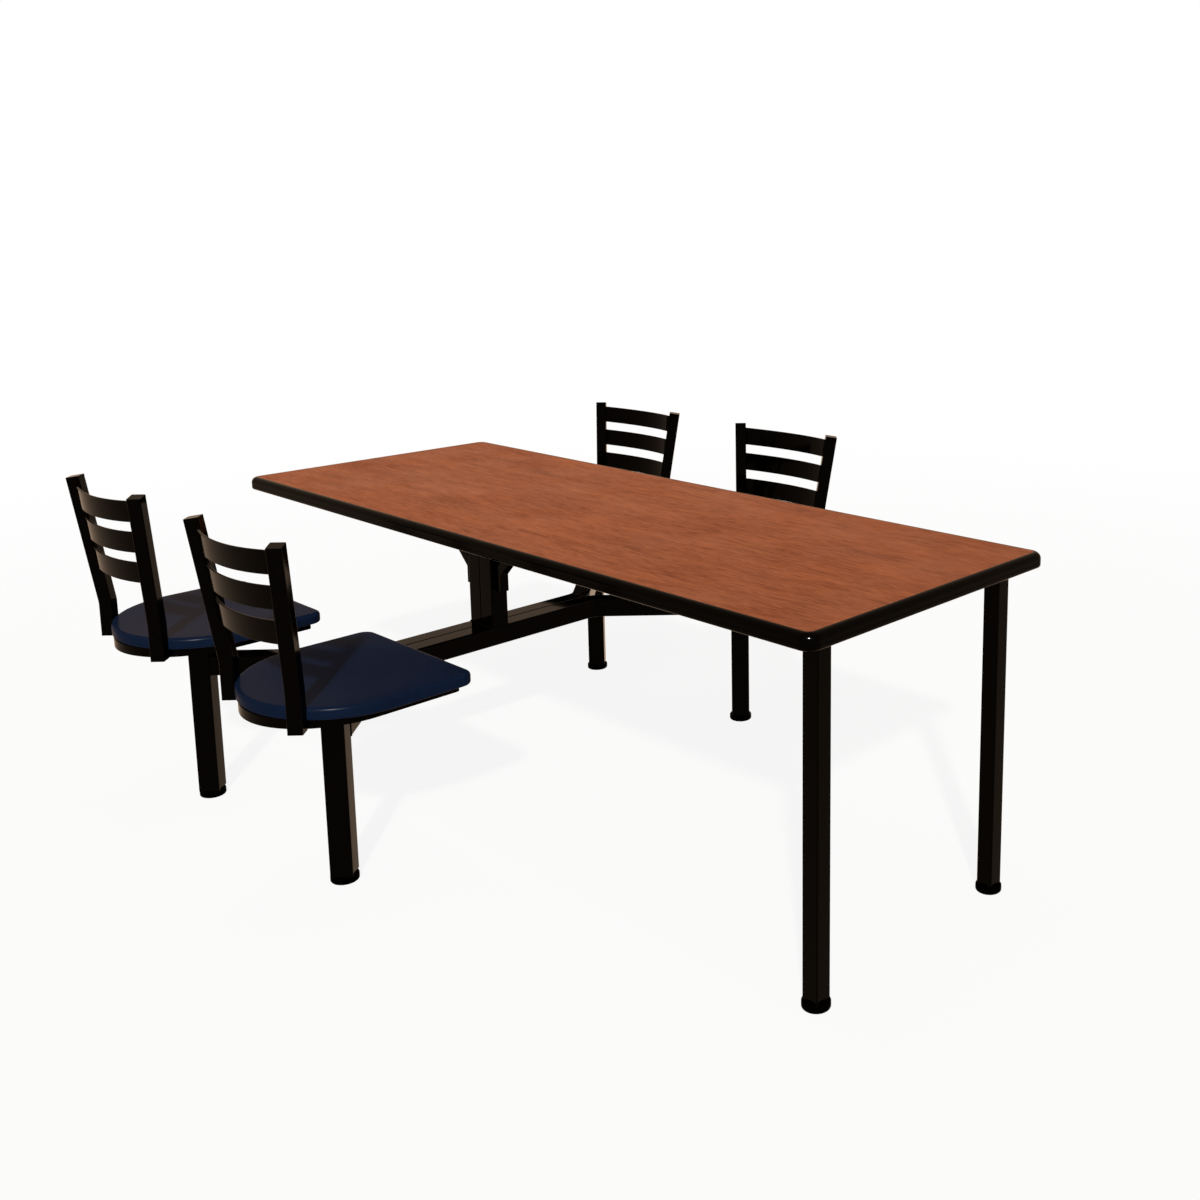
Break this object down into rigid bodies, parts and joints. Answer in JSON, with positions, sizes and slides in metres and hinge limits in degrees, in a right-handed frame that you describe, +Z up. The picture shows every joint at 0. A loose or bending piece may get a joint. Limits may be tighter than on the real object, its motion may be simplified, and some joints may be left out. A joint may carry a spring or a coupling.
{
  "type": "table with attached swivel seats",
  "caption": "Long rectangular dining table on a bent-tube pedestal and end legs, with swivel seats on arms from the pedestal and slatted curved backs.",
  "frame": {"origin": "on the floor under the middle of the table top", "axes": "+X along the table top, from the seats towards the two end legs; +Y across the table; +Z up"},
  "size_m": [2.04, 1.7334, 0.8413],
  "materials": {
    "cherry_laminate": "satin wood-grain laminate",
    "particle_board": "raw board",
    "backer_sheet": "matte",
    "edge_band": "satin",
    "black_enamel": "gloss",
    "swivel_steel": "satin",
    "blue_composite": "gloss",
    "glide_plastic": "satin",
    "washer_nylon": "matte",
    "zinc_screw": "zinc plated"
  },
  "bodies": {
    "frame": {"tabletop_laminate": "cherry_laminate", "tabletop_core": "particle_board", "tabletop_backer": "backer_sheet", "tabletop_edge": "edge_band", "table_leg_near": "black_enamel", "table_leg_plate_near": "black_enamel", "table_leg_far": "black_enamel", "table_leg_plate_far": "black_enamel", "beam_tube_left": "black_enamel", "column_tube_left": "black_enamel", "brace_left": "black_enamel", "beam_tube_right": "black_enamel", "column_tube_right": "black_enamel", "brace_right": "black_enamel", "pedestal_plate": "black_enamel", "underside_screws": "zinc_screw", "table_leg_glides": "glide_plastic", "seat_leg_glides": "glide_plastic", "swivel_thrust_washers": "washer_nylon", "swivel_nuts": "zinc_screw", "near_right_seat_leg": "black_enamel", "near_right_swivel_base": "swivel_steel", "near_left_seat_leg": "black_enamel", "near_left_swivel_base": "swivel_steel", "far_left_seat_leg": "black_enamel", "far_left_swivel_base": "swivel_steel", "far_right_seat_leg": "black_enamel", "far_right_swivel_base": "swivel_steel"},
    "near_right_seat": {"near_right_swivel_hub": "black_enamel", "near_right_seat_pan": "black_enamel", "near_right_seat_shell": "blue_composite", "near_right_upright_left": "black_enamel", "near_right_upright_right": "black_enamel", "near_right_slat_upper": "black_enamel", "near_right_slat_middle": "black_enamel", "near_right_slat_lower": "black_enamel"},
    "near_left_seat": {"near_left_swivel_hub": "black_enamel", "near_left_seat_pan": "black_enamel", "near_left_seat_shell": "blue_composite", "near_left_upright_left": "black_enamel", "near_left_upright_right": "black_enamel", "near_left_slat_upper": "black_enamel", "near_left_slat_middle": "black_enamel", "near_left_slat_lower": "black_enamel"},
    "far_left_seat": {"far_left_swivel_hub": "black_enamel", "far_left_seat_pan": "black_enamel", "far_left_seat_shell": "blue_composite", "far_left_upright_left": "black_enamel", "far_left_upright_right": "black_enamel", "far_left_slat_upper": "black_enamel", "far_left_slat_middle": "black_enamel", "far_left_slat_lower": "black_enamel"},
    "far_right_seat": {"far_right_swivel_hub": "black_enamel", "far_right_seat_pan": "black_enamel", "far_right_seat_shell": "blue_composite", "far_right_upright_left": "black_enamel", "far_right_upright_right": "black_enamel", "far_right_slat_upper": "black_enamel", "far_right_slat_middle": "black_enamel", "far_right_slat_lower": "black_enamel"}
  },
  "joints": [
    {"name": "near_right_swivel", "type": "hinge", "parent": "frame", "child": "near_right_seat", "pos_m": [-0.14175, -0.635, 0.4], "axis": [0, 0, 1], "range_deg": [-90, 90], "stiffness_Nm_per_rad": 3},
    {"name": "near_left_swivel", "type": "hinge", "parent": "frame", "child": "near_left_seat", "pos_m": [-0.79605, -0.635, 0.4], "axis": [0, 0, 1], "range_deg": [-90, 90], "stiffness_Nm_per_rad": 3},
    {"name": "far_left_swivel", "type": "hinge", "parent": "frame", "child": "far_left_seat", "pos_m": [-0.79605, 0.635, 0.4], "axis": [0, 0, 1], "range_deg": [-90, 90], "stiffness_Nm_per_rad": 3},
    {"name": "far_right_swivel", "type": "hinge", "parent": "frame", "child": "far_right_seat", "pos_m": [-0.14175, 0.635, 0.4], "axis": [0, 0, 1], "range_deg": [-90, 90], "stiffness_Nm_per_rad": 3}
  ]
}
